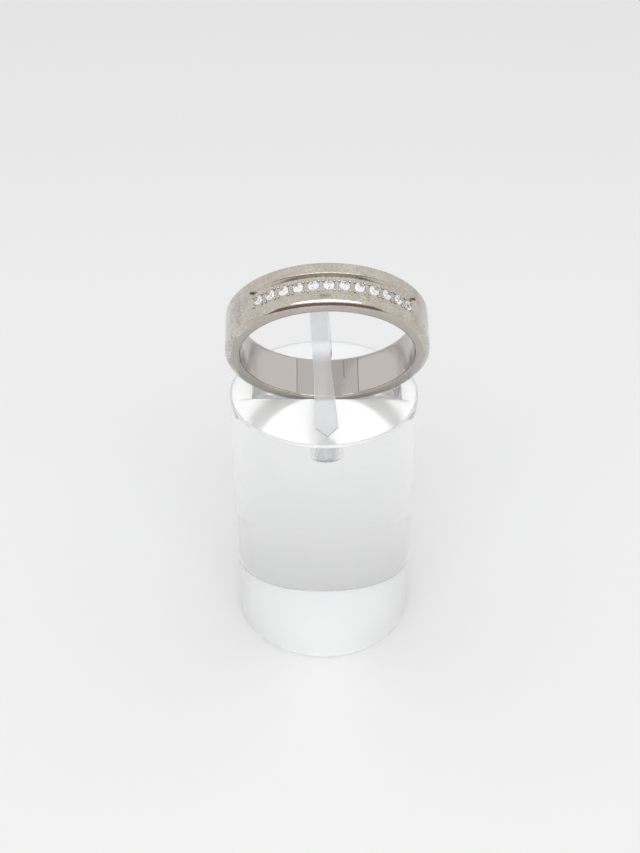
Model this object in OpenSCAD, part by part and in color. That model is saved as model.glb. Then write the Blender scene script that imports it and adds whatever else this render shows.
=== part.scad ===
/* [Ring] */
// Inner diameter of the ring, which sets its finger size
inner_d = 17.2; // [16.8:0.1:17.2]
// Thickness of the band from bore to outside
wall = 1.5; // [1.4:0.05:1.5]
// Width of the band along the finger
band_w = 4.6; // [4.4:0.1:4.8]
// Radius of the rounded outer shoulder at the ring's front
shoulder_r = 0.7; // [0.3:0.05:0.7]
// Radius of the rounded outer shoulder at the ring's back
back_shoulder_r = 0.35; // [0.3:0.05:0.7]
// Radius of the eased edges of the bore
bore_edge_r = 0.2; // [0.1:0.05:0.25]

/* [Channel and stones] */
// How many stones are set in the row
stones = 12; // [8:1:12]
// Angle from one stone to the next round the band
stone_step = 8.6; // [8:0.1:8.8]
// Diameter of each stone at its girdle
stone_d = 1.12; // [1:0.02:1.14]
// Depth of the channel below the band's outside
channel_depth = 0.41; // [0.3:0.01:0.45]
// Width of the channel's floor
channel_floor_w = 1.72; // [1.7:0.02:1.8]
// Distance that each sloped side wall of the channel leans outwards
side_lean = 0.19; // [0.15:0.01:0.25]
// Distance that each sloped end wall of the channel leans outwards
end_lean = 0.25; // [0.15:0.05:0.4]
// Floor left beyond the middle of the end stones, as an angle
channel_end = 3.7; // [3.7:0.1:5]
// Radius of the metal grains that hold the stones
grain_r = 0.13; // [0.11:0.01:0.14]
// Turn of the row to the wearer's side, seen from the front
row_turn = 4.6; // [0:0.1:8]

/* [Pose of the ring] */
// How far the ring leans to the front
lean = 28.5; // [26:0.5:31]
// Turn of the ring about the upright
ring_yaw = 1.3; // [0:0.1:2]
// Middle of the ring, to the side of the block's axis
ring_x = 0.32; // [0:0.02:0.5]
// Middle of the ring, to the back of the block's axis
ring_y = -3.5; // [-3.6:0.05:-3.5]
// Middle of the ring above the surface that the block stands on
ring_z = 39.05; // [39.05:0.05:39.2]

/* [Stand] */
// Diameter of the clear block
block_d = 20; // [19.6:0.2:22]
// Height of the clear block
block_h = 30.4; // [30.2:0.1:30.4]
// Polished chamfer at the block's rims
block_chamfer = 0.3; // [0.1:0.1:0.6]
// Length of the slot from side to side
slot_l = 15.8; // [15.6:0.1:16]
// Width of the slot, which is narrower than the band, so that the ring leans in it
slot_w = 3.6; // [3.5:0.1:3.6]
// Depth of the slot
slot_depth = 2; // [1.6:0.1:4]

/* [Clip] */
// Side position of the clip's stem
clip_x = 0.11; // [0:0.01:0.3]
// Thickness of the clip's strip
clip_t = 0.8; // [0.6:0.05:1]
// Width of the strip in its loop
clip_w = 1.75; // [1.6:0.05:1.8]
// Width of the strip just above its pointed tip
clip_tip_w = 2.3; // [2:0.05:2.6]
// Height of the clip's pointed end
clip_point = 0.95; // [0.6:0.05:1.2]
// Radius of the loop at the middle of the strip
loop_r = 6; // [5.9:0.05:6.1]
// Middle of the loop, behind the block's axis
loop_y = -1; // [-1.1:0.05:-0.9]
// Middle of the loop above the block's top
loop_rise = 5.1; // [4.9:0.1:5.3]
// Sideways lean of the strip
clip_lean = 4.2; // [0:0.1:5]
// Turn of the strip about its stem, seen from above
clip_turn = 1.4; // [0:0.1:2]
// Radius of the clip's round stem
stem_r = 0.75; // [0.6:0.05:0.85]
// Depth of the stem's hole, without its round end
stem_depth = 8; // [5:0.1:10]
// Space between the clip's tip and the block's top
tip_gap = 0.15; // [0.1:0.01:0.3]

/* [Hidden] */
$fn = 96;
inner_r = inner_d / 2;
outer_r = inner_r + wall;
side_x = band_w / 2;
floor_r = outer_r - channel_depth;
half_row = (stones - 1) / 2 * stone_step;
half_channel = half_row + channel_end;
cut = 1;

// Stone: heights are measured from the girdle's middle
stone_r = stone_d / 2;
table_r = 0.57 * stone_r;
crown_h = 0.32 * stone_r;
pavilion_h = 0.86 * stone_r;
girdle_h = 0.05 * stone_r;
seat_gap = 0.025;
seat_tip_r = 0.1;

// Grains: distance from the stone's middle, and height above its girdle
grain_reach = stone_r + grain_r + 0.01;
grain_rise = 0.09;

// Clip: the loop is an arc from the stem to the front leg, which is straight
loop_z = block_h + loop_rise;
tip_y = -8.6;
tip_z = block_h + tip_gap + 0.11 * clip_t;
reach = norm([tip_y - loop_y, tip_z - loop_z]);
leg_l = sqrt(reach * reach - loop_r * loop_r);
leg_turn = atan2(loop_y - tip_y, tip_z - loop_z) - acos(loop_r / reach);
stem_y = loop_y + loop_r;
stem_gap = 0.03;
stem_top = 0.4;
strip_foot = 0.15;

// The front leg starts inside the loop's end and a hair within its faces, so that the two
// make one solid
leg_start = 0.2;
leg_inset = 0.01;

function stone_name(i) = str("stone_", i < 10 ? "0" : "", i);

// Puts what is drawn about the ring's own axis, +Z, with the row's middle at +Y,
// into its leaning place on the stand. The ring's front side is its +Z side.
module place_ring() {
    translate([ring_x, ring_y, ring_z])
        rotate([0, 0, ring_yaw])
            rotate([90 + lean, 0, 0])
                rotate([0, 0, -row_turn])
                    children();
}

// Section of the band on one side of its middle, with the radius along x and the ring's axis
// along y: squares that meet in circles at the two rounded edges
module half_outline(round_r) {
    round_x = outer_r - round_r;
    round_y = side_x - round_r;
    edge_x = inner_r + bore_edge_r;
    edge_y = side_x - bore_edge_r;
    translate([inner_r, 0])
        square([bore_edge_r, edge_y]);
    translate([edge_x, 0])
        square([round_x - edge_x, side_x]);
    translate([round_x, 0])
        square([round_r, round_y]);
    translate([edge_x, edge_y])
        circle(r = bore_edge_r);
    translate([round_x, round_y])
        circle(r = round_r);
}

// The whole section, with the ring's front side up
module band_outline() {
    half_outline(shoulder_r);
    mirror([0, 1])
        half_outline(back_shoulder_r);
}

// The channel's space: a strip round the band with sloped sides, cut off by sloped ends
module channel_space() {
    floor_y = channel_floor_w / 2;
    top_r = outer_r + cut;
    top_y = floor_y + side_lean / channel_depth * (top_r - floor_r);
    end_x = floor_r * sin(half_channel);
    end_y = floor_r * cos(half_channel);
    end_turn = half_channel + atan(end_lean / channel_depth);
    far = 6;
    far_x = end_x + far * sin(end_turn);
    far_y = end_y + far * cos(end_turn);
    intersection() {
        rotate([0, 0, 90 - half_channel - 15])
            rotate_extrude(angle = 2 * half_channel + 30)
                polygon([[floor_r, -floor_y], [top_r, -top_y], [top_r, top_y], [floor_r, floor_y]]);
        linear_extrude(height = 2 * top_y, center = true)
            polygon([[0, 0], [end_x, end_y], [far_x, far_y], [far_x, 2 * outer_r],
                [-far_x, 2 * outer_r], [-far_x, far_y], [-end_x, end_y]]);
    }
}

// Puts what is drawn at a stone's girdle, with the table up +Z, at place i of the row
module at_stone(i) {
    rotate([0, 0, -(i - (stones + 1) / 2) * stone_step])
        translate([0, floor_r, 0])
            rotate([-90, 0, 0])
                children();
}

// The stone's seat: a cone for its underside and a straight wall round its girdle
module seat() {
    seat_r = stone_r + seat_gap;
    seat_h = pavilion_h + 2 * seat_gap;
    translate([0, 0, -girdle_h / 2 - seat_h])
        cylinder(h = seat_h, r1 = seat_tip_r, r2 = seat_r);
    translate([0, 0, -girdle_h / 2])
        cylinder(h = 2 * girdle_h, r = seat_r);
}

// Four grains, on the diagonals of the stone
module grains() {
    for (a = [45:90:315])
        rotate([0, 0, a])
            translate([grain_reach, 0, grain_rise])
                sphere(r = grain_r);
}

module ring_band() {
    color("#b9aeaa")
        place_ring() {
            difference() {
                rotate_extrude()
                    band_outline();
                channel_space();
                for (i = [1:stones])
                    at_stone(i) seat();
            }
            for (i = [1:stones])
                at_stone(i) grains();
        }
}

// One ring of n points at radius r and height z, turned by part of a step
function points_round(n, r, z, part) =
    [for (k = [0:n - 1]) [r * cos(360 * (k + part) / n), r * sin(360 * (k + part) / n), z]];

// Faces between two rings of points, a lower one and an upper one, both with n points
function faces_between(n, low, high) =
    [for (k = [0:n - 1]) [low + k, high + k, high + (k + 1) % n, low + (k + 1) % n]];

// A round brilliant: table, stars, kites, upper and lower halves and mains
module brilliant() {
    n = 8;
    kite_r = 0.80 * stone_r;
    kite_z = girdle_h / 2 + 0.46 * crown_h;
    top_z = girdle_h / 2 + crown_h;
    main_r = 0.22 * stone_r;
    main_z = -girdle_h / 2 - 0.78 * pavilion_h;
    tip_z_low = -girdle_h / 2 - pavilion_h;
    table0 = 0;
    kite0 = n;
    high0 = 2 * n;
    low0 = 4 * n;
    main0 = 6 * n;
    culet = 7 * n;
    points = concat(
        points_round(n, table_r, top_z, 0),
        points_round(n, kite_r, kite_z, 0.5),
        points_round(2 * n, stone_r, girdle_h / 2, 0),
        points_round(2 * n, stone_r, -girdle_h / 2, 0),
        points_round(n, main_r, main_z, 0.5),
        [[0, 0, tip_z_low]]);
    faces = concat(
        [[for (k = [n - 1:-1:0]) table0 + k]],
        [for (k = [0:n - 1]) [table0 + k, table0 + (k + 1) % n, kite0 + k]],
        [for (k = [0:n - 1]) [table0 + k, kite0 + k, high0 + 2 * k]],
        [for (k = [0:n - 1]) [table0 + (k + 1) % n, high0 + (2 * k + 2) % (2 * n), kite0 + k]],
        [for (k = [0:n - 1]) [kite0 + k, high0 + 2 * k + 1, high0 + 2 * k]],
        [for (k = [0:n - 1]) [kite0 + k, high0 + (2 * k + 2) % (2 * n), high0 + 2 * k + 1]],
        faces_between(2 * n, low0, high0),
        [for (k = [0:n - 1]) [main0 + k, low0 + 2 * k, low0 + 2 * k + 1]],
        [for (k = [0:n - 1]) [main0 + k, low0 + 2 * k + 1, low0 + (2 * k + 2) % (2 * n)]],
        [for (k = [0:n - 1]) [low0 + 2 * k, main0 + k, culet]],
        [for (k = [0:n - 1]) [low0 + (2 * k + 2) % (2 * n), culet, main0 + k]]);
    polyhedron(points = points, faces = faces);
}

module stone(i) {
    color("#eef4f6")
        place_ring()
            at_stone(i)
                brilliant();
}

module stand_block() {
    block_r = block_d / 2;
    color("#dfe4e6", 0.5)
        difference() {
            union() {
                cylinder(h = block_chamfer, r1 = block_r - block_chamfer, r2 = block_r);
                translate([0, 0, block_chamfer])
                    cylinder(h = block_h - 2 * block_chamfer, r = block_r);
                translate([0, 0, block_h - block_chamfer])
                    cylinder(h = block_chamfer, r1 = block_r, r2 = block_r - block_chamfer);
            }
            translate([ring_x - slot_l / 2, -slot_w / 2, block_h - slot_depth])
                cube([slot_l, slot_w, slot_depth + cut]);
            translate([clip_x, stem_y, block_h - stem_depth]) {
                cylinder(h = stem_depth + cut, r = stem_r + stem_gap);
                sphere(r = stem_r + stem_gap);
            }
        }
}

// The loop and its straight rear end seen from the side, with the front along -x, up along y
// and the foot of the strip at y = 0
module loop_outline() {
    far = 2 * loop_r;
    translate([-loop_r, loop_rise])
        intersection() {
            difference() {
                circle(r = loop_r + clip_t / 2);
                circle(r = loop_r - clip_t / 2);
            }
            polygon([[0, 0], [far, 0], [far, far], [-far, far],
                [-far * sin(leg_turn), far * cos(leg_turn)]]);
        }
    translate([-clip_t / 2, strip_foot])
        square([clip_t, loop_rise - strip_foot]);
}

// The front leg seen flat, from the loop down to its point
module leg_outline() {
    half_w = clip_w / 2 - 3 * leg_inset;
    half_tip = clip_tip_w / 2;
    wide_y = -(leg_l - clip_point);
    polygon([[half_w, leg_start], [-half_w, leg_start], [-half_tip, wide_y], [0, -leg_l],
        [half_tip, wide_y]]);
}

// A flat strip that leans and turns a little, on a round stem that stands upright in its hole
module ring_clip() {
    color("#e8ecee", 0.6)
        translate([clip_x, stem_y, block_h]) {
            translate([0, 0, stem_gap - stem_depth])
                cylinder(h = stem_depth - stem_gap + stem_top, r = stem_r);
            rotate([0, -clip_lean, clip_turn]) {
                translate([-clip_w / 2, 0, 0])
                    rotate([90, 0, 90])
                        linear_extrude(height = clip_w)
                            loop_outline();
                translate([0, -loop_r, loop_rise])
                    rotate([leg_turn, 0, 0])
                        translate([0, 0, loop_r - clip_t / 2 + leg_inset])
                            linear_extrude(height = clip_t - 2 * leg_inset)
                                leg_outline();
            }
        }
}

ring_band();
for (i = [1:stones])
    stone(i);
stand_block();
ring_clip();
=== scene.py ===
from math import acos, atan, atan2, cos, degrees, hypot, pi, radians, sin, sqrt

import bmesh
import bpy
from mathutils import Matrix, Vector


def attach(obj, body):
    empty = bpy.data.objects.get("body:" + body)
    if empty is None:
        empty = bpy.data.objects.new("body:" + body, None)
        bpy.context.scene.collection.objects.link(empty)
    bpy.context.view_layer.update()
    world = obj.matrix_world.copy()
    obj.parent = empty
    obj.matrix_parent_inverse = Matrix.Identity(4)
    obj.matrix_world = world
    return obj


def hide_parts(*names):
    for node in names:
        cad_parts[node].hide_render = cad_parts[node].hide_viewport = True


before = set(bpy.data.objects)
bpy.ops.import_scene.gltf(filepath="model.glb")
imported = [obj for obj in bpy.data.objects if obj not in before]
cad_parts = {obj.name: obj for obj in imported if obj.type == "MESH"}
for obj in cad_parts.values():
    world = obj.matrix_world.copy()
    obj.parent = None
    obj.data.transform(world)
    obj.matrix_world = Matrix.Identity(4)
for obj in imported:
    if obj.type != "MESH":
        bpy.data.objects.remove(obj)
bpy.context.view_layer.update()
mm = 0.001  # every size below is in millimetres, and becomes metres when a piece is placed


# Small tools for nodes, colours and meshes

def toLinear(hexColour):
    code = hexColour.lstrip("#")
    parts = [int(code[i:i + 2], 16) / 255 for i in (0, 2, 4)]
    return [p / 12.92 if p <= 0.04045 else ((p + 0.055) / 1.055) ** 2.4 for p in parts] + [1.0]


def addNode(tree, kind, settings=None, links=None):
    # a link is a plain value, a socket, a node for its first output, or a list of nodes
    node = tree.nodes.new(kind)
    for name, value in (settings or {}).items():
        setattr(node, name, value)
    for name, value in (links or {}).items():
        sources = value if isinstance(value, list) else [value]
        sources = [s.outputs[0] if isinstance(s, bpy.types.Node) else s for s in sources]
        if isinstance(sources[0], bpy.types.NodeSocket):
            for source in sources:
                tree.links.new(source, node.inputs[name])
        else:
            node.inputs[name].default_value = value
    return node


def newMaterial(name):
    material = bpy.data.materials.new(name)
    material.use_nodes = True
    tree = material.node_tree
    tree.nodes.clear()
    return material, tree


def setColours(ramp, steps):
    while len(ramp.elements) < len(steps):
        ramp.elements.new(0.5)
    for element, (place, colour) in zip(ramp.elements, steps):
        element.position = place
        element.color = toLinear(colour)


def grainPattern(tree, size, detail, roughness=0.5, source="Object"):
    # a noise whose grains have this size along each axis, in millimetres
    unit = mm if source == "Object" else 1.0  # the band's UV map is already in millimetres
    place = addNode(tree, "ShaderNodeTexCoord").outputs[source]
    scaled = addNode(tree, "ShaderNodeMapping", links={
        "Vector": place, "Scale": [1 / (side * unit) for side in size]})
    return addNode(tree, "ShaderNodeTexNoise", links={
        "Vector": scaled, "Scale": 1.0, "Detail": detail, "Roughness": roughness})


def makePiece(name, mesh):
    piece = bpy.data.objects.new(name, mesh)
    bpy.context.scene.collection.objects.link(piece)
    return piece


def meshFromBmesh(name, work, placing):
    work.transform(placing)
    mesh = bpy.data.meshes.new(name)
    work.to_mesh(mesh)
    work.free()
    return mesh


def sharpEdges(work, angle):
    return [e for e in work.edges if len(e.link_faces) == 2 and e.calc_face_angle() > radians(angle)]


def soften(work, edges, width, segments):
    bmesh.ops.bevel(work, geom=edges, offset=width, segments=segments, profile=0.5,
                    affect="EDGES", clamp_overlap=True)


def freeze(piece):
    graph = bpy.context.evaluated_depsgraph_get()
    mesh = bpy.data.meshes.new_from_object(piece.evaluated_get(graph), depsgraph=graph)
    piece.modifiers.clear()
    piece.data = mesh


def smoothBelow(piece, angle):
    piece.data.shade_smooth()
    piece.data.set_sharp_from_angle(angle=radians(angle))


def evenNormals(piece):
    weighted = piece.modifiers.new("flat faces stay flat", "WEIGHTED_NORMAL")
    weighted.keep_sharp = True
    weighted.weight = 100


# The ring's band: a flat-court section turned round the finger, with a sunk channel over the top

band = {
    "innerR": 8.6,
    "outerR": 10.1,
    "halfWidth": 2.3,
    "frontShoulderR": 0.7,
    "backShoulderR": 0.35,
    "boreEdgeR": 0.3,
    "channelDepth": 0.41,
    "channelHalfFloor": 0.86,
    "sideLean": 0.19,
    "endLean": 0.25,
    "halfChannel": 51.0,  # degrees each way from the row's middle
    "rimSoftness": 0.07,  # the channel's rim is worn round by polishing
    "cornerSoftness": 0.02,
    "columns": 2.0,  # degrees between the lines round the band
    "flatSteps": 4,  # faces across each flat stretch of the section
    "shoulderSteps": 14,
    "edgeSteps": 8,
    "boreSteps": 12,
    "floorSteps": 6,
}

ringPlace = {
    "middle": (0.32, -3.5, 39.05),
    "yaw": 1.3,
    "lean": 28.5,
    "rowTurn": 4.6,
}

placeRing = (
    Matrix.Scale(mm, 4)
    @ Matrix.Translation(ringPlace["middle"])
    @ Matrix.Rotation(radians(ringPlace["yaw"]), 4, "Z")
    @ Matrix.Rotation(radians(90 + ringPlace["lean"]), 4, "X")
    @ Matrix.Rotation(radians(-ringPlace["rowTurn"]), 4, "Z")
)


def arcPoints(centreR, centreY, radius, start, end, count):
    turns = [radians(start + (end - start) * i / count) for i in range(count + 1)]
    return [(centreR + radius * cos(t), centreY + radius * sin(t)) for t in turns]


def spread(first, last, count):
    return [first + (last - first) * i / count for i in range(count + 1)]


def bandRows():
    # the section from one rim of the channel, round by the bore, to the other rim
    b = band
    edgeR, edgeY = b["innerR"] + b["boreEdgeR"], b["halfWidth"] - b["boreEdgeR"]
    rimY = b["channelHalfFloor"] + b["sideLean"]

    def halfSection(roundR):
        shoulderR, shoulderY = b["outerR"] - roundR, b["halfWidth"] - roundR
        half = [(b["outerR"], y) for y in spread(rimY, shoulderY, b["flatSteps"])[:-1]]
        half += arcPoints(shoulderR, shoulderY, roundR, 0, 90, b["shoulderSteps"])
        half += [(r, b["halfWidth"]) for r in spread(shoulderR, edgeR, b["flatSteps"])[1:-1]]
        return half + arcPoints(edgeR, edgeY, b["boreEdgeR"], 90, 180, b["edgeSteps"])

    bore = [(b["innerR"], y) for y in spread(edgeY, -edgeY, b["boreSteps"])[1:-1]]
    back = [(r, -y) for r, y in reversed(halfSection(b["backShoulderR"]))]
    return halfSection(b["frontShoulderR"]) + bore + back


def bandColumns():
    # angles round the band from the row's middle, with lines at the channel's ends
    b = band
    floorR = b["outerR"] - b["channelDepth"]
    end = radians(b["halfChannel"])
    wall = end + atan(b["endLean"] / b["channelDepth"])
    foot = Vector((floorR * sin(end), floorR * cos(end)))
    way = Vector((sin(wall), cos(wall)))
    along = foot.dot(way)
    rise = -along + sqrt(along * along - foot.length_squared + b["outerR"] ** 2)
    rim = foot + rise * way
    rimEnd = degrees(atan2(rim.x, rim.y))
    floorEnd = b["halfChannel"]
    inside = spread(-floorEnd, floorEnd, round(2 * floorEnd / b["columns"]))
    outside = spread(rimEnd, 360 - rimEnd, round((360 - 2 * rimEnd) / b["columns"]))
    return inside, outside


def makeBandMesh():
    b = band
    rows = bandRows()
    inside, outside = bandColumns()
    angles = inside + outside
    floorR = b["outerR"] - b["channelDepth"]
    floorY = spread(b["channelHalfFloor"], -b["channelHalfFloor"], b["floorSteps"])[::-1]
    work = bmesh.new()
    uv = work.loops.layers.uv.new("round the band")

    def sectionUnder(topR):
        return rows + [(topR, y) for y in floorY]

    lines = []
    for angle in angles:
        a = radians(angle)
        section = sectionUnder(floorR if angle <= inside[-1] else b["outerR"])
        lines.append([work.verts.new((r * sin(a), r * cos(a), y)) for r, y in section])
    outer = sectionUnder(b["outerR"])
    wrap = [0.0]  # the way round the section, up to each of its points
    for (r0, y0), (r1, y1) in zip(outer, outer[1:] + outer[:1]):
        wrap.append(wrap[-1] + hypot(r1 - r0, y1 - y0))
    count = len(outer)
    lastLine = len(lines) - 1
    for i, line in enumerate(lines):
        following = lines[(i + 1) % len(lines)]
        u0 = radians(angles[i]) * b["outerR"]
        u1 = radians(angles[(i + 1) % len(lines)] + (360 if i == lastLine else 0)) * b["outerR"]
        for k in range(count):
            n = (k + 1) % count
            corners = [(line[k], u0, wrap[k]), (line[n], u0, wrap[k + 1]),
                       (following[n], u1, wrap[k + 1]), (following[k], u1, wrap[k])]
            faces = [corners]
            if i in (len(inside) - 1, lastLine) and k in (len(rows) - 1, count - 1):
                # a corner of the channel is two triangles that meet on its mitre
                mitre = 0 if (k == len(rows) - 1) != (i == lastLine) else 1
                faces = [corners[mitre:mitre + 3], corners[mitre + 2:] + corners[:mitre + 1]]
            for face in faces:
                made = work.faces.new([c[0] for c in face])
                for loop, corner in zip(made.loops, face):
                    loop[uv].uv = corner[1:]
    bmesh.ops.recalc_face_normals(work, faces=work.faces)
    sharp = sharpEdges(work, 20)
    soften(work, [e for e in sharp if e.is_convex], b["rimSoftness"], 5)
    soften(work, [e for e in sharp if e.is_valid], b["cornerSoftness"], 2)
    return meshFromBmesh("ring band", work, Matrix.Identity(4))


# Seats and grains follow the row of stones: one tree cuts and raises them all

row = {
    "stones": 12,
    "step": 8.6,  # degrees from stone to stone
    "seatR": 0.585,
    "seatDepth": 0.53,
    "seatTipR": 0.1,
    "seatMouth": -0.014,  # the cone's mouth, from the channel's floor
    "neckMiddle": 0.016,  # a short straight neck joins the mouth to the open channel
    "neckHeight": 0.06,
    "seatSides": 40,
    "grainReach": 0.72,
    "grainRise": 0.04,
    "grainR": 0.15,
    "grainHeight": 0.55,  # of its full ball, where the setter's beading tool pressed it down
    "pitTurn": 16.5,  # a small pit in the metal beside the channel
    "pitY": 1.38,
    "pitSize": (0.11, 0.14, 0.2),  # half sizes: round the band, deep, along the finger
}


def rowInputs(alloy):
    # the tree's inputs: each has its kind and its value
    pitTurn = radians(row["pitTurn"])
    pitPlace = (band["outerR"] * sin(pitTurn), band["outerR"] * cos(pitTurn), row["pitY"])
    return {
        "Stones": ("Int", row["stones"]), "Step": ("Float", radians(row["step"])),
        "Floor R": ("Float", band["outerR"] - band["channelDepth"]), "Seat R": ("Float", row["seatR"]),
        "Seat Depth": ("Float", row["seatDepth"]), "Seat Tip R": ("Float", row["seatTipR"]),
        "Seat Mouth": ("Float", row["seatMouth"]), "Seat Sides": ("Int", row["seatSides"]),
        "Neck Middle": ("Float", row["neckMiddle"]), "Neck Height": ("Float", row["neckHeight"]),
        "Grain Reach": ("Float", row["grainReach"]), "Grain Rise": ("Float", row["grainRise"]),
        "Grain R": ("Float", row["grainR"]), "Grain Height": ("Float", row["grainHeight"]),
        "Pit Turn": ("Float", -pitTurn), "Pit Place": ("Vector", pitPlace),
        "Pit Size": ("Vector", row["pitSize"]), "Metal": ("Material", alloy)}


def buildRowTree(inputs):
    tree = bpy.data.node_groups.new("seats and grains", "GeometryNodeTree")
    tree.interface.new_socket("Band", in_out="INPUT", socket_type="NodeSocketGeometry")
    for name, (kind, _) in inputs.items():
        tree.interface.new_socket(name, in_out="INPUT", socket_type="NodeSocket" + kind)
    tree.interface.new_socket("Band", in_out="OUTPUT", socket_type="NodeSocketGeometry")
    given = addNode(tree, "NodeGroupInput").outputs
    less, times = {"operation": "SUBTRACT"}, {"operation": "MULTIPLY"}
    exactUnion = {"operation": "UNION", "solver": "EXACT"}
    exactCut = {"operation": "DIFFERENCE", "solver": "EXACT"}

    # one point for each stone, on the channel's floor, with its own +Z pointing outwards
    line = addNode(tree, "GeometryNodeMeshLine", links={"Count": given["Stones"]})
    index = addNode(tree, "GeometryNodeInputIndex")
    last = addNode(tree, "ShaderNodeMath", less, {0: given["Stones"], 1: 1.0})
    middle = addNode(tree, "ShaderNodeMath", times, {0: last, 1: 0.5})
    fromMiddle = addNode(tree, "ShaderNodeMath", less, {0: index, 1: middle})
    turn = addNode(tree, "ShaderNodeMath", times, {0: fromMiddle, 1: given["Step"]})
    sine = addNode(tree, "ShaderNodeMath", {"operation": "SINE"}, {0: turn})
    cosine = addNode(tree, "ShaderNodeMath", {"operation": "COSINE"}, {0: turn})
    place = addNode(tree, "ShaderNodeCombineXYZ", links={
        "X": addNode(tree, "ShaderNodeMath", times, {0: sine, 1: given["Floor R"]}),
        "Y": addNode(tree, "ShaderNodeMath", times, {0: cosine, 1: given["Floor R"]})})
    points = addNode(tree, "GeometryNodeSetPosition", links={"Geometry": line, "Position": place})
    tilt = addNode(tree, "ShaderNodeCombineXYZ", links={
        "X": -pi / 2, "Z": addNode(tree, "ShaderNodeMath", times, {0: turn, 1: -1.0})})
    upright = addNode(tree, "FunctionNodeEulerToRotation", links={0: tilt})

    # each seat is a cone with a short neck
    cone = addNode(tree, "GeometryNodeMeshCone", links={
        "Vertices": given["Seat Sides"], "Radius Top": given["Seat R"],
        "Radius Bottom": given["Seat Tip R"], "Depth": given["Seat Depth"]})
    coneFoot = addNode(tree, "ShaderNodeMath", less, {0: given["Seat Mouth"], 1: given["Seat Depth"]})
    coneIn = addNode(tree, "GeometryNodeTransform", links={
        "Geometry": cone, "Translation": addNode(tree, "ShaderNodeCombineXYZ", links={"Z": coneFoot})})
    neck = addNode(tree, "GeometryNodeMeshCylinder", links={
        "Vertices": given["Seat Sides"], "Radius": given["Seat R"], "Depth": given["Neck Height"]})
    neckAt = addNode(tree, "ShaderNodeCombineXYZ", links={"Z": given["Neck Middle"]})
    neckOn = addNode(tree, "GeometryNodeTransform", links={"Geometry": neck, "Translation": neckAt})
    seat = addNode(tree, "GeometryNodeMeshBoolean", exactUnion, {"Mesh": [coneIn, neckOn]})
    seats = addNode(tree, "GeometryNodeInstanceOnPoints", links={
        "Points": points, "Instance": seat, "Rotation": upright})

    # the pit is a stretched ball, and goes with the seats
    ball = addNode(tree, "GeometryNodeMeshUVSphere", links={
        "Segments": 16, "Rings": 10, "Radius": 1.0})
    pit = addNode(tree, "GeometryNodeTransform", links={
        "Geometry": ball, "Translation": given["Pit Place"], "Scale": given["Pit Size"],
        "Rotation": addNode(tree, "ShaderNodeCombineXYZ", links={"Z": given["Pit Turn"]})})
    hollows = addNode(tree, "GeometryNodeJoinGeometry", links={0: [seats, pit]})
    cutters = addNode(tree, "GeometryNodeRealizeInstances", links={"Geometry": hollows})
    cut = addNode(tree, "GeometryNodeMeshBoolean", exactCut, {
        "Mesh 1": given["Band"], "Mesh 2": cutters})

    # four grains for each stone, on its diagonals
    square = addNode(tree, "GeometryNodeMeshCircle", links={
        "Vertices": 4, "Radius": given["Grain Reach"]})
    corners = addNode(tree, "GeometryNodeTransform", links={
        "Geometry": square, "Rotation": (0.0, 0.0, pi / 4),
        "Translation": addNode(tree, "ShaderNodeCombineXYZ", links={"Z": given["Grain Rise"]})})
    bead = addNode(tree, "GeometryNodeMeshUVSphere", links={
        "Segments": 20, "Rings": 12, "Radius": given["Grain R"]})
    pressed = addNode(tree, "ShaderNodeCombineXYZ", links={
        "X": 1.0, "Y": 1.0, "Z": given["Grain Height"]})
    four = addNode(tree, "GeometryNodeInstanceOnPoints", links={
        "Points": corners, "Instance": bead, "Scale": pressed})
    fourBeads = addNode(tree, "GeometryNodeRealizeInstances", links={"Geometry": four})
    rowOfFours = addNode(tree, "GeometryNodeInstanceOnPoints", links={
        "Points": points, "Instance": fourBeads, "Rotation": upright})
    grains = addNode(tree, "GeometryNodeRealizeInstances", links={"Geometry": rowOfFours})
    joined = addNode(tree, "GeometryNodeMeshBoolean", exactUnion, {"Mesh": [cut, grains]})
    whole = addNode(tree, "GeometryNodeRealizeInstances", links={"Geometry": joined})
    dressed = addNode(tree, "GeometryNodeSetMaterial", links={
        "Geometry": whole, "Material": given["Metal"]})
    addNode(tree, "NodeGroupOutput", links={"Band": dressed})
    return tree


def runTree(piece, tree, inputs):
    modifier = piece.modifiers.new(tree.name, "NODES")
    modifier.node_group = tree
    sockets = {s.name: s.identifier for s in tree.interface.items_tree if s.in_out == "INPUT"}
    for name, (_, value) in inputs.items():
        modifier[sockets[name]] = value
    freeze(piece)


# White gold, cast, filed flat and polished on a mop: a warm grey mirror that years of wear
# have softened with hairlines, so its reflections have a slightly blurred, mottled edge

metal = {
    "cloud": (1.82, 1.82, 1.82),  # sizes of the patterns' grains along each axis
    "grit": (1 / 6, 1 / 6, 1 / 6),  # the real grit and hairlines are finer, and these are as
    "hairs": (5 / 3, 1 / 9, 1.0),  # coarse as they need to be to show
    "gritShare": 0.7,  # of the mottle; the rest is cloud
    "gritDepth": 0.012,
    "hairDepth": 0.004,
    "wander": 0.03,  # how far a seam or scratch strays from a straight line
    "seams": (152.4, 196.35),  # where the band was cut and soldered to size, in degrees
    "seamHalf": 0.02,
    "seamSoft": 0.05,
    "seamShows": 0.75,  # how strongly each kind of mark shows, from 0 to 1
    "insertSoft": 0.1,
    "insertShows": 0.13,
    "scratch": 162.6,
    "scratchSoft": 0.06,
    "scratchMiddle": 5.62,
    "scratchHalf": 0.8,
    "scratchShows": 0.7,
    # a painted reflection: a soft dark patch on the front flat beside the channel's rim
    "paintedReflectionTurn": -6.5,
    "paintedReflectionHalf": 0.1,
    "paintedReflectionSoft": 0.7,
    "paintedReflectionMiddle": 0.33,
    "paintedReflectionReach": 0.32,
    "paintedReflectionShows": 0.45,
    "sideFrom": 1.6,  # distances along the section from the channel's front rim, in mm
    "sideTo": 2.2,
    "sideSoft": 0.08,
    "boreFrom": 2.62,
    "boreTo": 6.62,
    "boreSoft": 0.2,
    "rubbed": (90, 270),  # the sides that rub on other rings, in degrees
    "rubbedHalf": 22,
    "rubbedSoft": 16,
}


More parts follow.
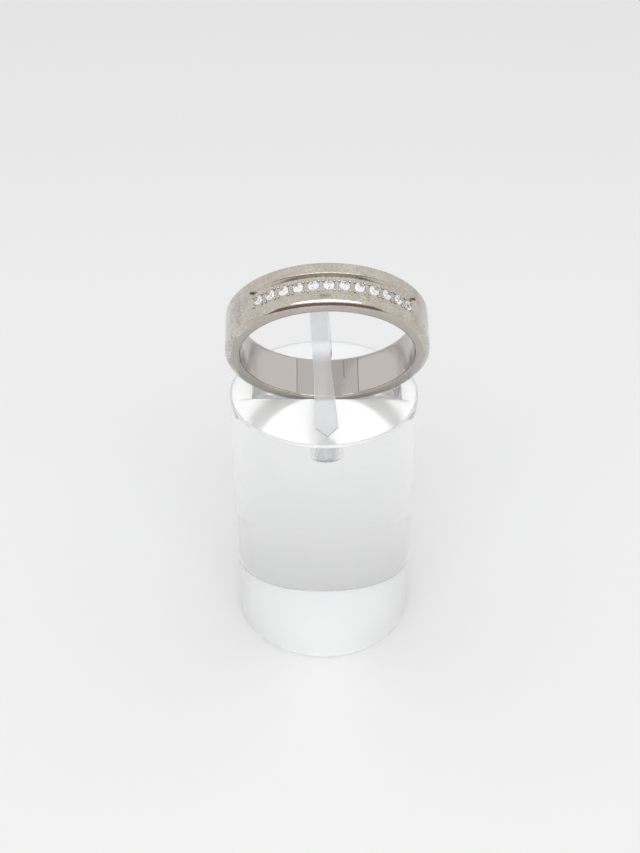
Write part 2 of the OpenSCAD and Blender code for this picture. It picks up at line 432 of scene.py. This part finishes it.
def makeWhiteGold():
    m = metal
    material, tree = newMaterial("White gold, polished and worn")
    cloud = grainPattern(tree, m["cloud"], 4.0, 0.6)
    grit = grainPattern(tree, m["grit"], 5.0, 0.65)
    hairs = grainPattern(tree, m["hairs"], 3.0, 0.7, "UV")
    mottle = addNode(tree, "ShaderNodeMix", links={"Factor": m["gritShare"], "A": cloud, "B": grit})
    outside = addNode(tree, "ShaderNodeValToRGB", links={"Fac": mottle})
    setColours(outside.color_ramp, [(0.38, "#aea79e"), (0.5, "#c1bab0"), (0.62, "#d0cac1")])
    scratched = addNode(tree, "ShaderNodeValToRGB", links={"Fac": mottle})
    setColours(scratched.color_ramp, [(0.4, "#a39d96"), (0.5, "#c8c3bd"), (0.58, "#e2deda")])

    # marks, and a painted dark reflection, that lie on the unrolled band: u runs round it and v along
    # its section
    unrolled = addNode(tree, "ShaderNodeSeparateXYZ", links={
        0: addNode(tree, "ShaderNodeTexCoord").outputs["UV"]})
    u, v = unrolled.outputs["X"], unrolled.outputs["Y"]

    def combined(operation, *parts):
        # multiplied masks show where they all do, and their maximum where any does
        whole = parts[0]
        for part in parts[1:]:
            whole = addNode(tree, "ShaderNodeMath", {"operation": operation}, {0: whole, 1: part})
        return whole

    def near(value, middle, half, soft, shows=1.0):
        # a mask that is even up to half from the middle and fades over the soft part beyond
        apart = addNode(tree, "ShaderNodeMath", {"operation": "SUBTRACT"}, {0: value, 1: middle})
        away = addNode(tree, "ShaderNodeMath", {"operation": "ABSOLUTE"}, {0: apart})
        return addNode(tree, "ShaderNodeMapRange", {"interpolation_type": "SMOOTHSTEP"}, {
            "Value": away, "From Min": half, "From Max": half + soft,
            "To Min": shows, "To Max": 0.0})

    def roundTo(turn):
        return radians(turn) * band["outerR"]

    inBore = near(v, (m["boreFrom"] + m["boreTo"]) / 2,
                  (m["boreTo"] - m["boreFrom"] - m["boreSoft"]) / 2, m["boreSoft"])
    # the side face, painted a little darker: partly its duller filed finish, partly painted shade
    onSide = near(v, (m["sideFrom"] + m["sideTo"]) / 2, (m["sideTo"] - m["sideFrom"]) / 2,
                  m["sideSoft"])
    rubbed = combined("MAXIMUM", *[
        near(u, roundTo(turn), roundTo(m["rubbedHalf"]), roundTo(m["rubbedSoft"]))
        for turn in m["rubbed"]])

    stray = addNode(tree, "ShaderNodeMapRange", links={
        "Value": grit, "To Min": -m["wander"], "To Max": m["wander"]})
    wandering = combined("ADD", u, stray)
    first, second = [roundTo(turn) for turn in m["seams"]]
    seams = [near(wandering, seam, m["seamHalf"], m["seamSoft"], m["seamShows"])
             for seam in (first, second)]
    insert = near(u, (first + second) / 2, (second - first) / 2 - m["insertSoft"],
                  m["insertSoft"], m["insertShows"])
    scratch = combined(
        "MULTIPLY",
        near(wandering, roundTo(m["scratch"]), m["seamHalf"], m["scratchSoft"], m["scratchShows"]),
        near(v, m["scratchMiddle"], m["scratchHalf"], m["scratchHalf"]))
    # the painted reflection: a soft dark patch on the front flat by the channel's rim, where the metal
    # would mirror a dark thing straight above
    paintedReflection = combined(
        "MULTIPLY",
        near(u, roundTo(m["paintedReflectionTurn"]), m["paintedReflectionHalf"], m["paintedReflectionSoft"], m["paintedReflectionShows"]),
        near(v, m["paintedReflectionMiddle"], 0.0, m["paintedReflectionReach"]))
    inside = combined("MULTIPLY", combined("MAXIMUM", *seams, insert, scratch), inBore)
    marksAndPaintedReflection = combined("MAXIMUM", inside, paintedReflection)

    # the plating is whole in the bore and gone from the flats, which show the warmer alloy; the
    # filed side face is painted a little darker, partly for its duller finish and partly as painted
    # shade from the darker things it mirrors; the sides that rub on other rings are brightened by
    # scratches
    colour = outside
    for mask, over in ((rubbed, scratched), (inBore, toLinear("#c2bcb8")),
                       (onSide, toLinear("#bbb5af")), (marksAndPaintedReflection, toLinear("#3d3531"))):
        colour = addNode(tree, "ShaderNodeMix", {"data_type": "RGBA"}, {
            "Factor": mask, 6: colour, 7: over}).outputs[2]

    worn = addNode(tree, "ShaderNodeMapRange", links={
        "Value": hairs, "From Min": 0.3, "From Max": 0.75, "To Min": 0.08, "To Max": 0.17})
    hairlines = addNode(tree, "ShaderNodeBump", links={
        "Height": hairs, "Strength": 0.35, "Distance": m["hairDepth"] * mm})
    pitted = addNode(tree, "ShaderNodeBump", links={
        "Height": grit, "Strength": 0.35, "Distance": m["gritDepth"] * mm, "Normal": hairlines})
    shader = addNode(tree, "ShaderNodeBsdfPrincipled", links={
        "Base Color": colour, "Metallic": 1.0, "Roughness": worn, "Normal": pitted})
    addNode(tree, "ShaderNodeOutputMaterial", links={"Surface": shader})
    return material


whiteGold = makeWhiteGold()
ringBand = makePiece("ring_band_worked", makeBandMesh())
seatsAndGrains = rowInputs(whiteGold)
runTree(ringBand, buildRowTree(seatsAndGrains), seatsAndGrains)
ringBand.data.transform(placeRing)
smoothBelow(ringBand, 28)
evenNormals(ringBand)
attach(ringBand, "root")
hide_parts("ring_band")
print("band made,", len(ringBand.data.polygons), "faces")


# Cubic zirconia, cut and polished as round brilliants: very clear, with strong reflections
# from each facet, so the eye sees white flashes beside grey ones

crystal = {
    "wipe": (0.4, 0.4, 0.4),  # size of the traces that a cloth leaves
    "ior": 2.16,
    "dullest": 0.03,
}


def makeZirconia():
    c = crystal
    material, tree = newMaterial("Cubic zirconia, faceted")
    wipe = grainPattern(tree, c["wipe"], 2.0)
    tone = addNode(tree, "ShaderNodeValToRGB", links={"Fac": wipe})
    setColours(tone.color_ramp, [(0.3, "#f4f8fa"), (0.7, "#ffffff")])
    wiped = addNode(tree, "ShaderNodeMapRange", links={
        "Value": wipe, "To Min": 0.0, "To Max": c["dullest"]})
    shader = addNode(tree, "ShaderNodeBsdfPrincipled", links={
        "Base Color": tone, "IOR": c["ior"], "Transmission Weight": 1.0, "Roughness": wiped})
    addNode(tree, "ShaderNodeOutputMaterial", links={"Surface": shader})
    return material


zirconia = makeZirconia()
for i in range(1, row["stones"] + 1):
    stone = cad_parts["stone_%02d" % i]
    stone.data.materials.clear()
    stone.data.materials.append(zirconia)
print("stones dressed")


# The stand: a turned and polished acrylic cylinder with a milled slot and a drilled hole

block = {
    "radius": 10.0,
    "height": 30.4,
    "chamfer": 0.2,
    "footChamfer": 0.1,
    "softness": 0.05,
    "rimBand": 0.4,  # a line of edges beside each rim keeps the long faces flat
    "segments": 256,
    "slotMiddle": 0.32,
    "slotLength": 15.8,
    "slotWidth": 3.6,
    "slotDepth": 2.0,
    "holeX": 0.11,
    "holeY": 5.0,
    "holeR": 0.78,
    "holeDepth": 8.0,
    "holeSegments": 64,
    "overcut": 1.0,  # how far the cutters stand out of the top
    "dust": (1 / 3, 1 / 3, 1 / 3),  # size of the specks, and of the lathe's ripple below
    "ripple": (8.33, 8.33, 1.11),  # a real lathe's is finer, and this shows as a slight wave
    "rippleDepth": 0.001,
}


def turnedSolid(work, outline, segments, x=0.0, y=0.0):
    # spins an outline of radius and height, whose ends lie on the axis
    rings = []
    for r, z in outline:
        turns = [2 * pi * i / segments for i in range(segments)] if r > 1e-6 else [0.0]
        rings.append([work.verts.new((x + r * cos(t), y + r * sin(t), z)) for t in turns])
    for low, high in zip(rings, rings[1:]):
        for i in range(segments):
            n = (i + 1) % segments
            corners = [low[i % len(low)], low[n % len(low)], high[n % len(high)], high[i % len(high)]]
            work.faces.new(list(dict.fromkeys(corners)))
    bmesh.ops.recalc_face_normals(work, faces=work.faces)


def makeBlockMesh():
    b = block
    work = bmesh.new()
    r, h, c, foot, rim = b["radius"], b["height"], b["chamfer"], b["footChamfer"], b["rimBand"]
    outline = [(0, 0), (r - foot - rim, 0), (r - foot, 0), (r, foot), (r, foot + rim), (r, h / 2),
               (r, h - c - rim), (r, h - c), (r - c, h), (r - c - rim, h), (0, h)]
    turnedSolid(work, outline, b["segments"])
    soften(work, sharpEdges(work, 30), b["softness"] / 2, 2)
    return meshFromBmesh("acrylic block", work, Matrix.Scale(mm, 4))


def makeCutters():
    b = block
    slot = bmesh.new()
    size = (b["slotLength"], b["slotWidth"], b["slotDepth"] + b["overcut"])
    bmesh.ops.create_cube(slot, size=1.0, matrix=Matrix.Translation(
        (b["slotMiddle"], 0, b["height"] - b["slotDepth"] + size[2] / 2)) @ Matrix.Diagonal((*size, 1)))
    hole = bmesh.new()
    low = b["height"] - b["holeDepth"]
    bowl = [(b["holeR"] * sin(t), low - b["holeR"] * cos(t)) for t in spread(0, pi / 2, 12)]
    top = b["height"] + b["overcut"]
    turnedSolid(hole, bowl + [(b["holeR"], top), (0, top)], b["holeSegments"],
                b["holeX"], b["holeY"])
    return [makePiece("cutter", meshFromBmesh("cutter", work, Matrix.Scale(mm, 4)))
            for work in (slot, hole)]


# Cast acrylic, turned and flame polished down its side: as clear as water, with pale edges, a
# little dust and a slight ripple from the lathe

def makeCastAcrylic():
    b = block
    material, tree = newMaterial("Cast acrylic, turned and polished")
    dust = grainPattern(tree, b["dust"], 6.0, 0.7)
    turning = grainPattern(tree, b["ripple"], 2.0)
    tone = addNode(tree, "ShaderNodeValToRGB", links={"Fac": dust})
    setColours(tone.color_ramp, [(0.4, "#ffffff"), (0.8, "#f8f9f9")])
    dusty = addNode(tree, "ShaderNodeMapRange", links={
        "Value": dust, "From Min": 0.45, "From Max": 0.8, "To Min": 0.01, "To Max": 0.09})
    rippled = addNode(tree, "ShaderNodeBump", links={
        "Height": turning, "Strength": 0.2, "Distance": b["rippleDepth"] * mm})
    shader = addNode(tree, "ShaderNodeBsdfPrincipled", links={
        "Base Color": tone, "IOR": 1.49, "Transmission Weight": 1.0, "Roughness": dusty,
        "Normal": rippled})
    addNode(tree, "ShaderNodeOutputMaterial", links={"Surface": shader})
    return material


# The same acrylic where a tool has left it satin: it scatters the light that crosses it, and
# what lies behind it melts into a pale grey

satinFinishes = {
    # the making: size of its grain, roughness from and to, and how clear it stays; the marks of
    # the real tools are finer, and these are as coarse as they need to be to show
    "milled": ((0.5, 0.5, 1 / 9), 0.4, 0.55, 0.4),
    "edge broken with a scraper": ((1.11, 1.11, 1.11), 0.3, 0.42, 0.6),
    "sawn and sanded": ((1.11, 1.11, 1.11), 0.3, 0.42, 0.9),
    "faced and buffed": ((1.11, 1.11, 1.11), 0.2, 0.3, 0.55),
    "drilled": ((0.5, 0.5, 1 / 9), 0.35, 0.5, 1.0),
}


def makeSatinAcrylic(making):
    grain, roughFrom, roughTo, clear = satinFinishes[making]
    material, tree = newMaterial("Cast acrylic, " + making)
    feed = grainPattern(tree, grain, 4.0, 0.6)
    tone = addNode(tree, "ShaderNodeValToRGB", links={"Fac": feed})
    setColours(tone.color_ramp, [(0.3, "#f7f8f8"), (0.7, "#fdfdfd")])
    satin = addNode(tree, "ShaderNodeMapRange", links={
        "Value": feed, "To Min": roughFrom, "To Max": roughTo})
    shader = addNode(tree, "ShaderNodeBsdfPrincipled", links={
        "Base Color": tone, "IOR": 1.49, "Transmission Weight": clear, "Roughness": satin})
    addNode(tree, "ShaderNodeOutputMaterial", links={"Surface": shader})
    return material


def makingAt(face):
    # which tool made this face of the block; the polished side has none
    b = block
    x, y, z = face.center / mm
    up = face.normal.z
    if 1 < z < b["height"] - 0.06 and hypot(x, y) < b["radius"] - 1:
        fromHole = hypot(x - b["holeX"], y - b["holeY"])
        return "drilled" if fromHole < b["holeR"] + 0.05 else "milled"
    if 0.3 < up < 0.95 and z > b["height"] - b["chamfer"]:
        return "edge broken with a scraper"
    if up < -0.99 and z < 0.01:
        return "sawn and sanded"
    if up > 0.99 and z > b["height"] - 0.01:
        return "faced and buffed"
    return None


standBlock = makePiece("stand_block_polished", makeBlockMesh())
cutters = makeCutters()
for cutter in cutters:
    boolean = standBlock.modifiers.new("cut", "BOOLEAN")
    boolean.operation, boolean.solver, boolean.object = "DIFFERENCE", "EXACT", cutter
softEdge = standBlock.modifiers.new("soft edges", "BEVEL")
softEdge.width, softEdge.segments = block["softness"] * mm, 2
softEdge.limit_method, softEdge.angle_limit = "ANGLE", radians(40)
freeze(standBlock)
for cutter in cutters:
    bpy.data.objects.remove(cutter)
smoothBelow(standBlock, 30)
evenNormals(standBlock)
standBlock.data.materials.clear()
standBlock.data.materials.append(makeCastAcrylic())
for making in satinFinishes:
    standBlock.data.materials.append(makeSatinAcrylic(making))
slotOf = {making: i + 1 for i, making in enumerate(satinFinishes)}
for face in standBlock.data.polygons:
    face.material_index = slotOf.get(makingAt(face), 0)
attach(standBlock, "root")
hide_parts("stand_block")
print("block made,", len(standBlock.data.polygons), "faces")


# The clip: one springy strip, round where it stands in its hole and flat from there on.
# It rises behind the ring, loops forward through the finger hole and comes down in front.

clip = {
    "x": block["holeX"],
    "stemY": block["holeY"],
    "top": block["height"],
    "thickness": 0.8,
    "width": 1.75,
    "tipWidth": 2.3,
    "point": 0.95,
    "loopR": 6.0,
    "loopRise": 5.1,
    "lean": 4.2,
    "turn": 1.4,
    "stemR": 0.75,
    "stemDepth": 7.97,
    "stemTop": 0.4,
    "flatFrom": 2.0,  # where the round stem has become a flat strip, above the block's top
    "tipY": -8.6,
    "tipRise": 0.238,  # the strip's middle at its tip, above the block's top
    "tipBlunt": 0.06,
    "edgeR": 0.12,
    "round": 28,  # points round the section
    "haze": (0.714, 0.714, 0.714),  # size of the dull patches
    "hazeDepth": 0.02,
}


def clipStations():
    # places along the strip: middle, way across its thickness, half width, half thickness, roundness
    c = clip
    loopY, loopZ = c["stemY"] - c["loopR"], c["loopRise"]
    halfWidth, halfThick = c["width"] / 2, c["thickness"] / 2
    down = Vector((c["tipY"] - loopY, c["tipRise"] - loopZ))
    legLength = sqrt(down.length_squared - c["loopR"] ** 2)
    legTurn = atan2(-down.x, down.y) - acos(c["loopR"] / down.length)
    endTurn = pi / 2 + legTurn
    stations = [(c["stemY"], z, 0.0, c["stemR"], c["stemR"], 1.0)
                for z in spread(-c["stemDepth"], c["stemTop"], 8)]
    for z in spread(c["stemTop"], c["flatFrom"], 8)[1:]:
        t = (z - c["stemTop"]) / (c["flatFrom"] - c["stemTop"])
        t = t * t * (3 - 2 * t)
        stations.append((c["stemY"], z, 0.0, c["stemR"] + (halfWidth - c["stemR"]) * t,
                         c["stemR"] + (halfThick - c["stemR"]) * t, 1 - t))
    for z in spread(c["flatFrom"], loopZ, 4)[1:]:
        stations.append((c["stemY"], z, 0.0, halfWidth, halfThick, 0.0))
    for t in spread(0.0, endTurn, 60)[1:]:
        stations.append((loopY + c["loopR"] * cos(t), loopZ + c["loopR"] * sin(t), t,
                         halfWidth, halfThick, 0.0))
    start = Vector((loopY + c["loopR"] * cos(endTurn), loopZ + c["loopR"] * sin(endTurn)))
    way = Vector((-sin(endTurn), cos(endTurn)))
    straight = legLength - c["point"]
    for s in spread(0.0, straight, 12)[1:]:
        at = start + s * way
        half = (c["width"] + (c["tipWidth"] - c["width"]) * s / straight) / 2
        stations.append((at.x, at.y, endTurn, half, halfThick, 0.0))
    for s in spread(0.0, 1.0, 10)[1:]:
        at = start + (straight + s * c["point"]) * way
        half = c["tipWidth"] / 2 * (1 - s) + c["tipBlunt"] * s
        stations.append((at.x, at.y, endTurn, half, halfThick, 0.0))
    return stations


def clipSection(halfWidth, halfThick, roundness):
    # a rounded oblong that becomes a full round where the strip turns into its stem
    c = clip
    corner = c["edgeR"] + (min(halfWidth, halfThick) - c["edgeR"]) * roundness
    corner = min(corner, halfWidth, halfThick)
    points = []
    quarter = c["round"] // 4
    for q, (sx, sy) in enumerate(((1, 1), (-1, 1), (-1, -1), (1, -1))):
        for k in range(quarter):
            a = pi / 2 * (q + k / (quarter - 1))
            points.append((sx * (halfWidth - corner) + corner * cos(a),
                           sy * (halfThick - corner) + corner * sin(a)))
    return points


def makeClipMesh():
    c = clip
    tilt = Matrix.Rotation(radians(c["turn"]), 3, "Z") @ Matrix.Rotation(radians(-c["lean"]), 3, "Y")
    work = bmesh.new()
    rings = []
    for y, z, turn, halfWidth, halfThick, roundness in clipStations():
        ring = []
        for across, through in clipSection(halfWidth, halfThick, roundness):
            # through points away from the loop's middle
            at = Vector((across, y - c["stemY"] + through * cos(turn), z + through * sin(turn)))
            if z > 0:
                at = tilt @ at
            ring.append(work.verts.new(at + Vector((c["x"], c["stemY"], c["top"]))))
        rings.append(ring)
    count = len(rings[0])
    for low, high in zip(rings, rings[1:]):
        for k in range(count):
            n = (k + 1) % count
            work.faces.new((low[k], low[n], high[n], high[k]))
    work.faces.new(rings[0])
    work.faces.new(rings[-1])
    bmesh.ops.recalc_face_normals(work, faces=work.faces)
    return meshFromBmesh("clip", work, Matrix.Scale(mm, 4))


# Polycarbonate strip, cut and bent warm: clear but faintly milky, with soft broken highlights
# where handling has dulled it

def makeClipPlastic():
    material, tree = newMaterial("Polycarbonate strip, heat bent")
    haze = grainPattern(tree, clip["haze"], 5.0, 0.6)
    tone = addNode(tree, "ShaderNodeValToRGB", links={"Fac": haze})
    setColours(tone.color_ramp, [(0.3, "#f7f9fb"), (0.7, "#fdfdfe")])
    dulled = addNode(tree, "ShaderNodeMapRange", links={"Value": haze, "To Min": 0.08, "To Max": 0.2})
    handled = addNode(tree, "ShaderNodeBump", links={
        "Height": haze, "Strength": 0.3, "Distance": clip["hazeDepth"] * mm})
    shader = addNode(tree, "ShaderNodeBsdfPrincipled", links={
        "Base Color": tone, "IOR": 1.52, "Transmission Weight": 0.86, "Roughness": dulled,
        "Normal": handled})
    addNode(tree, "ShaderNodeOutputMaterial", links={"Surface": shader})
    return material


ringClip = makePiece("ring_clip_bent", makeClipMesh())
smoothBelow(ringClip, 40)
ringClip.data.materials.append(makeClipPlastic())
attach(ringClip, "root")
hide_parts("ring_clip")
print("clip made,", len(ringClip.data.polygons), "faces")


# Studio: a pale floor, a soft surround, two soft boxes and a dark card low in front

studio = {
    "floorHalf": 600.0,
    "floorDrop": 0.03,  # a hair of air under the block, as any dry contact has
    "floorColour": "#e1e1e1",
    "farShadeColour": "#e1e0e0",
    "farFrom": 100.0,
    "farTo": 125.0,
    "frontGlow": 0.98,  # the surround's strength in front and behind
    "backGlow": 0.91,
    "cardHalf": 88.0,
    "cardHeight": 72.0,
    "cardY": -92.0,
    "cardColour": "#947c79",
}

softBoxes = {
    # each one: where it hangs, where it aims, its width, its height and its power
    "back strip": ((0, 300, 292), (0, 0, 30), 240, 110, 0.58),
    "front soft box": ((0, -300, 340), (0, 0, 40), 600, 225, 0.72),
}


def makeFloor():
    s = studio
    material, tree = newMaterial("Paper sweep, matt")
    place = addNode(tree, "ShaderNodeTexCoord")
    apart = addNode(tree, "ShaderNodeSeparateXYZ", links={0: place.outputs["Object"]})
    # the floor far behind is painted a hair darker: painted shade where the light falls off towards the
    # back
    far = addNode(tree, "ShaderNodeMapRange", {"interpolation_type": "SMOOTHSTEP"}, {
        "Value": apart.outputs["Y"], "From Min": s["farFrom"] * mm, "From Max": s["farTo"] * mm})
    tone = addNode(tree, "ShaderNodeValToRGB", links={"Fac": far})
    setColours(tone.color_ramp, [(0.0, s["floorColour"]), (1.0, s["farShadeColour"])])
    shader = addNode(tree, "ShaderNodeBsdfPrincipled", links={
        "Base Color": tone, "Roughness": 0.9, "Specular IOR Level": 0.1})
    addNode(tree, "ShaderNodeOutputMaterial", links={"Surface": shader})
    work = bmesh.new()
    bmesh.ops.create_grid(work, x_segments=1, y_segments=1, size=s["floorHalf"])
    lowered = Matrix.Scale(mm, 4) @ Matrix.Translation((0, 0, -s["floorDrop"]))
    floor = makePiece("floor", meshFromBmesh("floor", work, lowered))
    floor.data.materials.append(material)


def makeSurround():
    world = bpy.data.worlds.new("soft surround")
    bpy.context.scene.world = world
    world.use_nodes = True
    tree = world.node_tree
    tree.nodes.clear()
    place = addNode(tree, "ShaderNodeTexCoord")
    apart = addNode(tree, "ShaderNodeSeparateXYZ", links={0: place.outputs["Generated"]})
    behind = addNode(tree, "ShaderNodeMapRange", {"interpolation_type": "SMOOTHSTEP"}, {
        "Value": apart.outputs["Y"], "From Min": 0.3, "From Max": 0.8})
    tone = addNode(tree, "ShaderNodeValToRGB", links={"Fac": behind})
    setColours(tone.color_ramp, [(0.0, "#ffffff"), (1.0, "#fafbfc")])
    glow = addNode(tree, "ShaderNodeMapRange", links={
        "Value": behind, "To Min": studio["frontGlow"], "To Max": studio["backGlow"]})
    shade = addNode(tree, "ShaderNodeBackground", links={"Color": tone, "Strength": glow})
    addNode(tree, "ShaderNodeOutputWorld", links={"Surface": shade})


def makeSoftBox(name):
    at, aim, width, height, power = softBoxes[name]
    light = bpy.data.lights.new(name, "AREA")
    light.shape = "ELLIPSE"
    light.size, light.size_y = width * mm, height * mm
    light.energy = power
    lamp = bpy.data.objects.new(name, light)
    bpy.context.scene.collection.objects.link(lamp)
    lamp.location = Vector(at) * mm
    lamp.rotation_euler = (Vector(at) - Vector(aim)).to_track_quat("Z", "Y").to_euler()
    lamp.visible_transmission = False  # only mirrored, never seen through the block
    return lamp


def makeDarkCard():
    # seen only in polished metal: the dark line along the ring's front shoulder
    s = studio
    material, tree = newMaterial("Dark card, matt board")
    shader = addNode(tree, "ShaderNodeBsdfPrincipled", links={
        "Base Color": toLinear(s["cardColour"]), "Roughness": 0.9})
    addNode(tree, "ShaderNodeOutputMaterial", links={"Surface": shader})
    work = bmesh.new()
    half, y, high = s["cardHalf"], s["cardY"], s["cardHeight"]
    corners = [(-half, y, 0), (half, y, 0), (half, y, high), (-half, y, high)]
    work.faces.new([work.verts.new(Vector(c)) for c in corners])
    card = makePiece("dark card", meshFromBmesh("dark card", work, Matrix.Scale(mm, 4)))
    card.data.materials.append(material)
    card.visible_camera = card.visible_diffuse = card.visible_shadow = False
    card.visible_transmission = card.visible_volume_scatter = False


makeFloor()
makeSurround()
backStrip = makeSoftBox("back strip")
backStrip.visible_diffuse = False
onBlock = bpy.data.collections.new("lit by the back strip")  # it whitens the block's top alone
onBlock.objects.link(standBlock)
backStrip.light_linking.receiver_collection = onBlock
makeSoftBox("front soft box")
makeDarkCard()
print("studio made")


# Camera at the photograph's place, fitted to the block's rims for a 640 by 853 picture

view = {
    "at": (0.4, -101.2, 99.6),
    "turn": (53.8, 0.0, 0.46),
    "lens": 48.70,
    "film": 36.0,
}
eye = bpy.data.cameras.new("camera")
eye.sensor_width, eye.sensor_fit, eye.lens = view["film"], "AUTO", view["lens"]
eye.clip_start, eye.clip_end = 0.001, 10.0
camera = bpy.data.objects.new("camera", eye)
bpy.context.scene.collection.objects.link(camera)
camera.location = Vector(view["at"]) * mm
camera.rotation_euler = [radians(turn) for turn in view["turn"]]
bpy.context.scene.camera = camera
bpy.context.scene.view_settings.view_transform = "Standard"
paths = bpy.context.scene.cycles  # light crosses many clear faces here
paths.max_bounces, paths.glossy_bounces, paths.transmission_bounces = 24, 16, 20
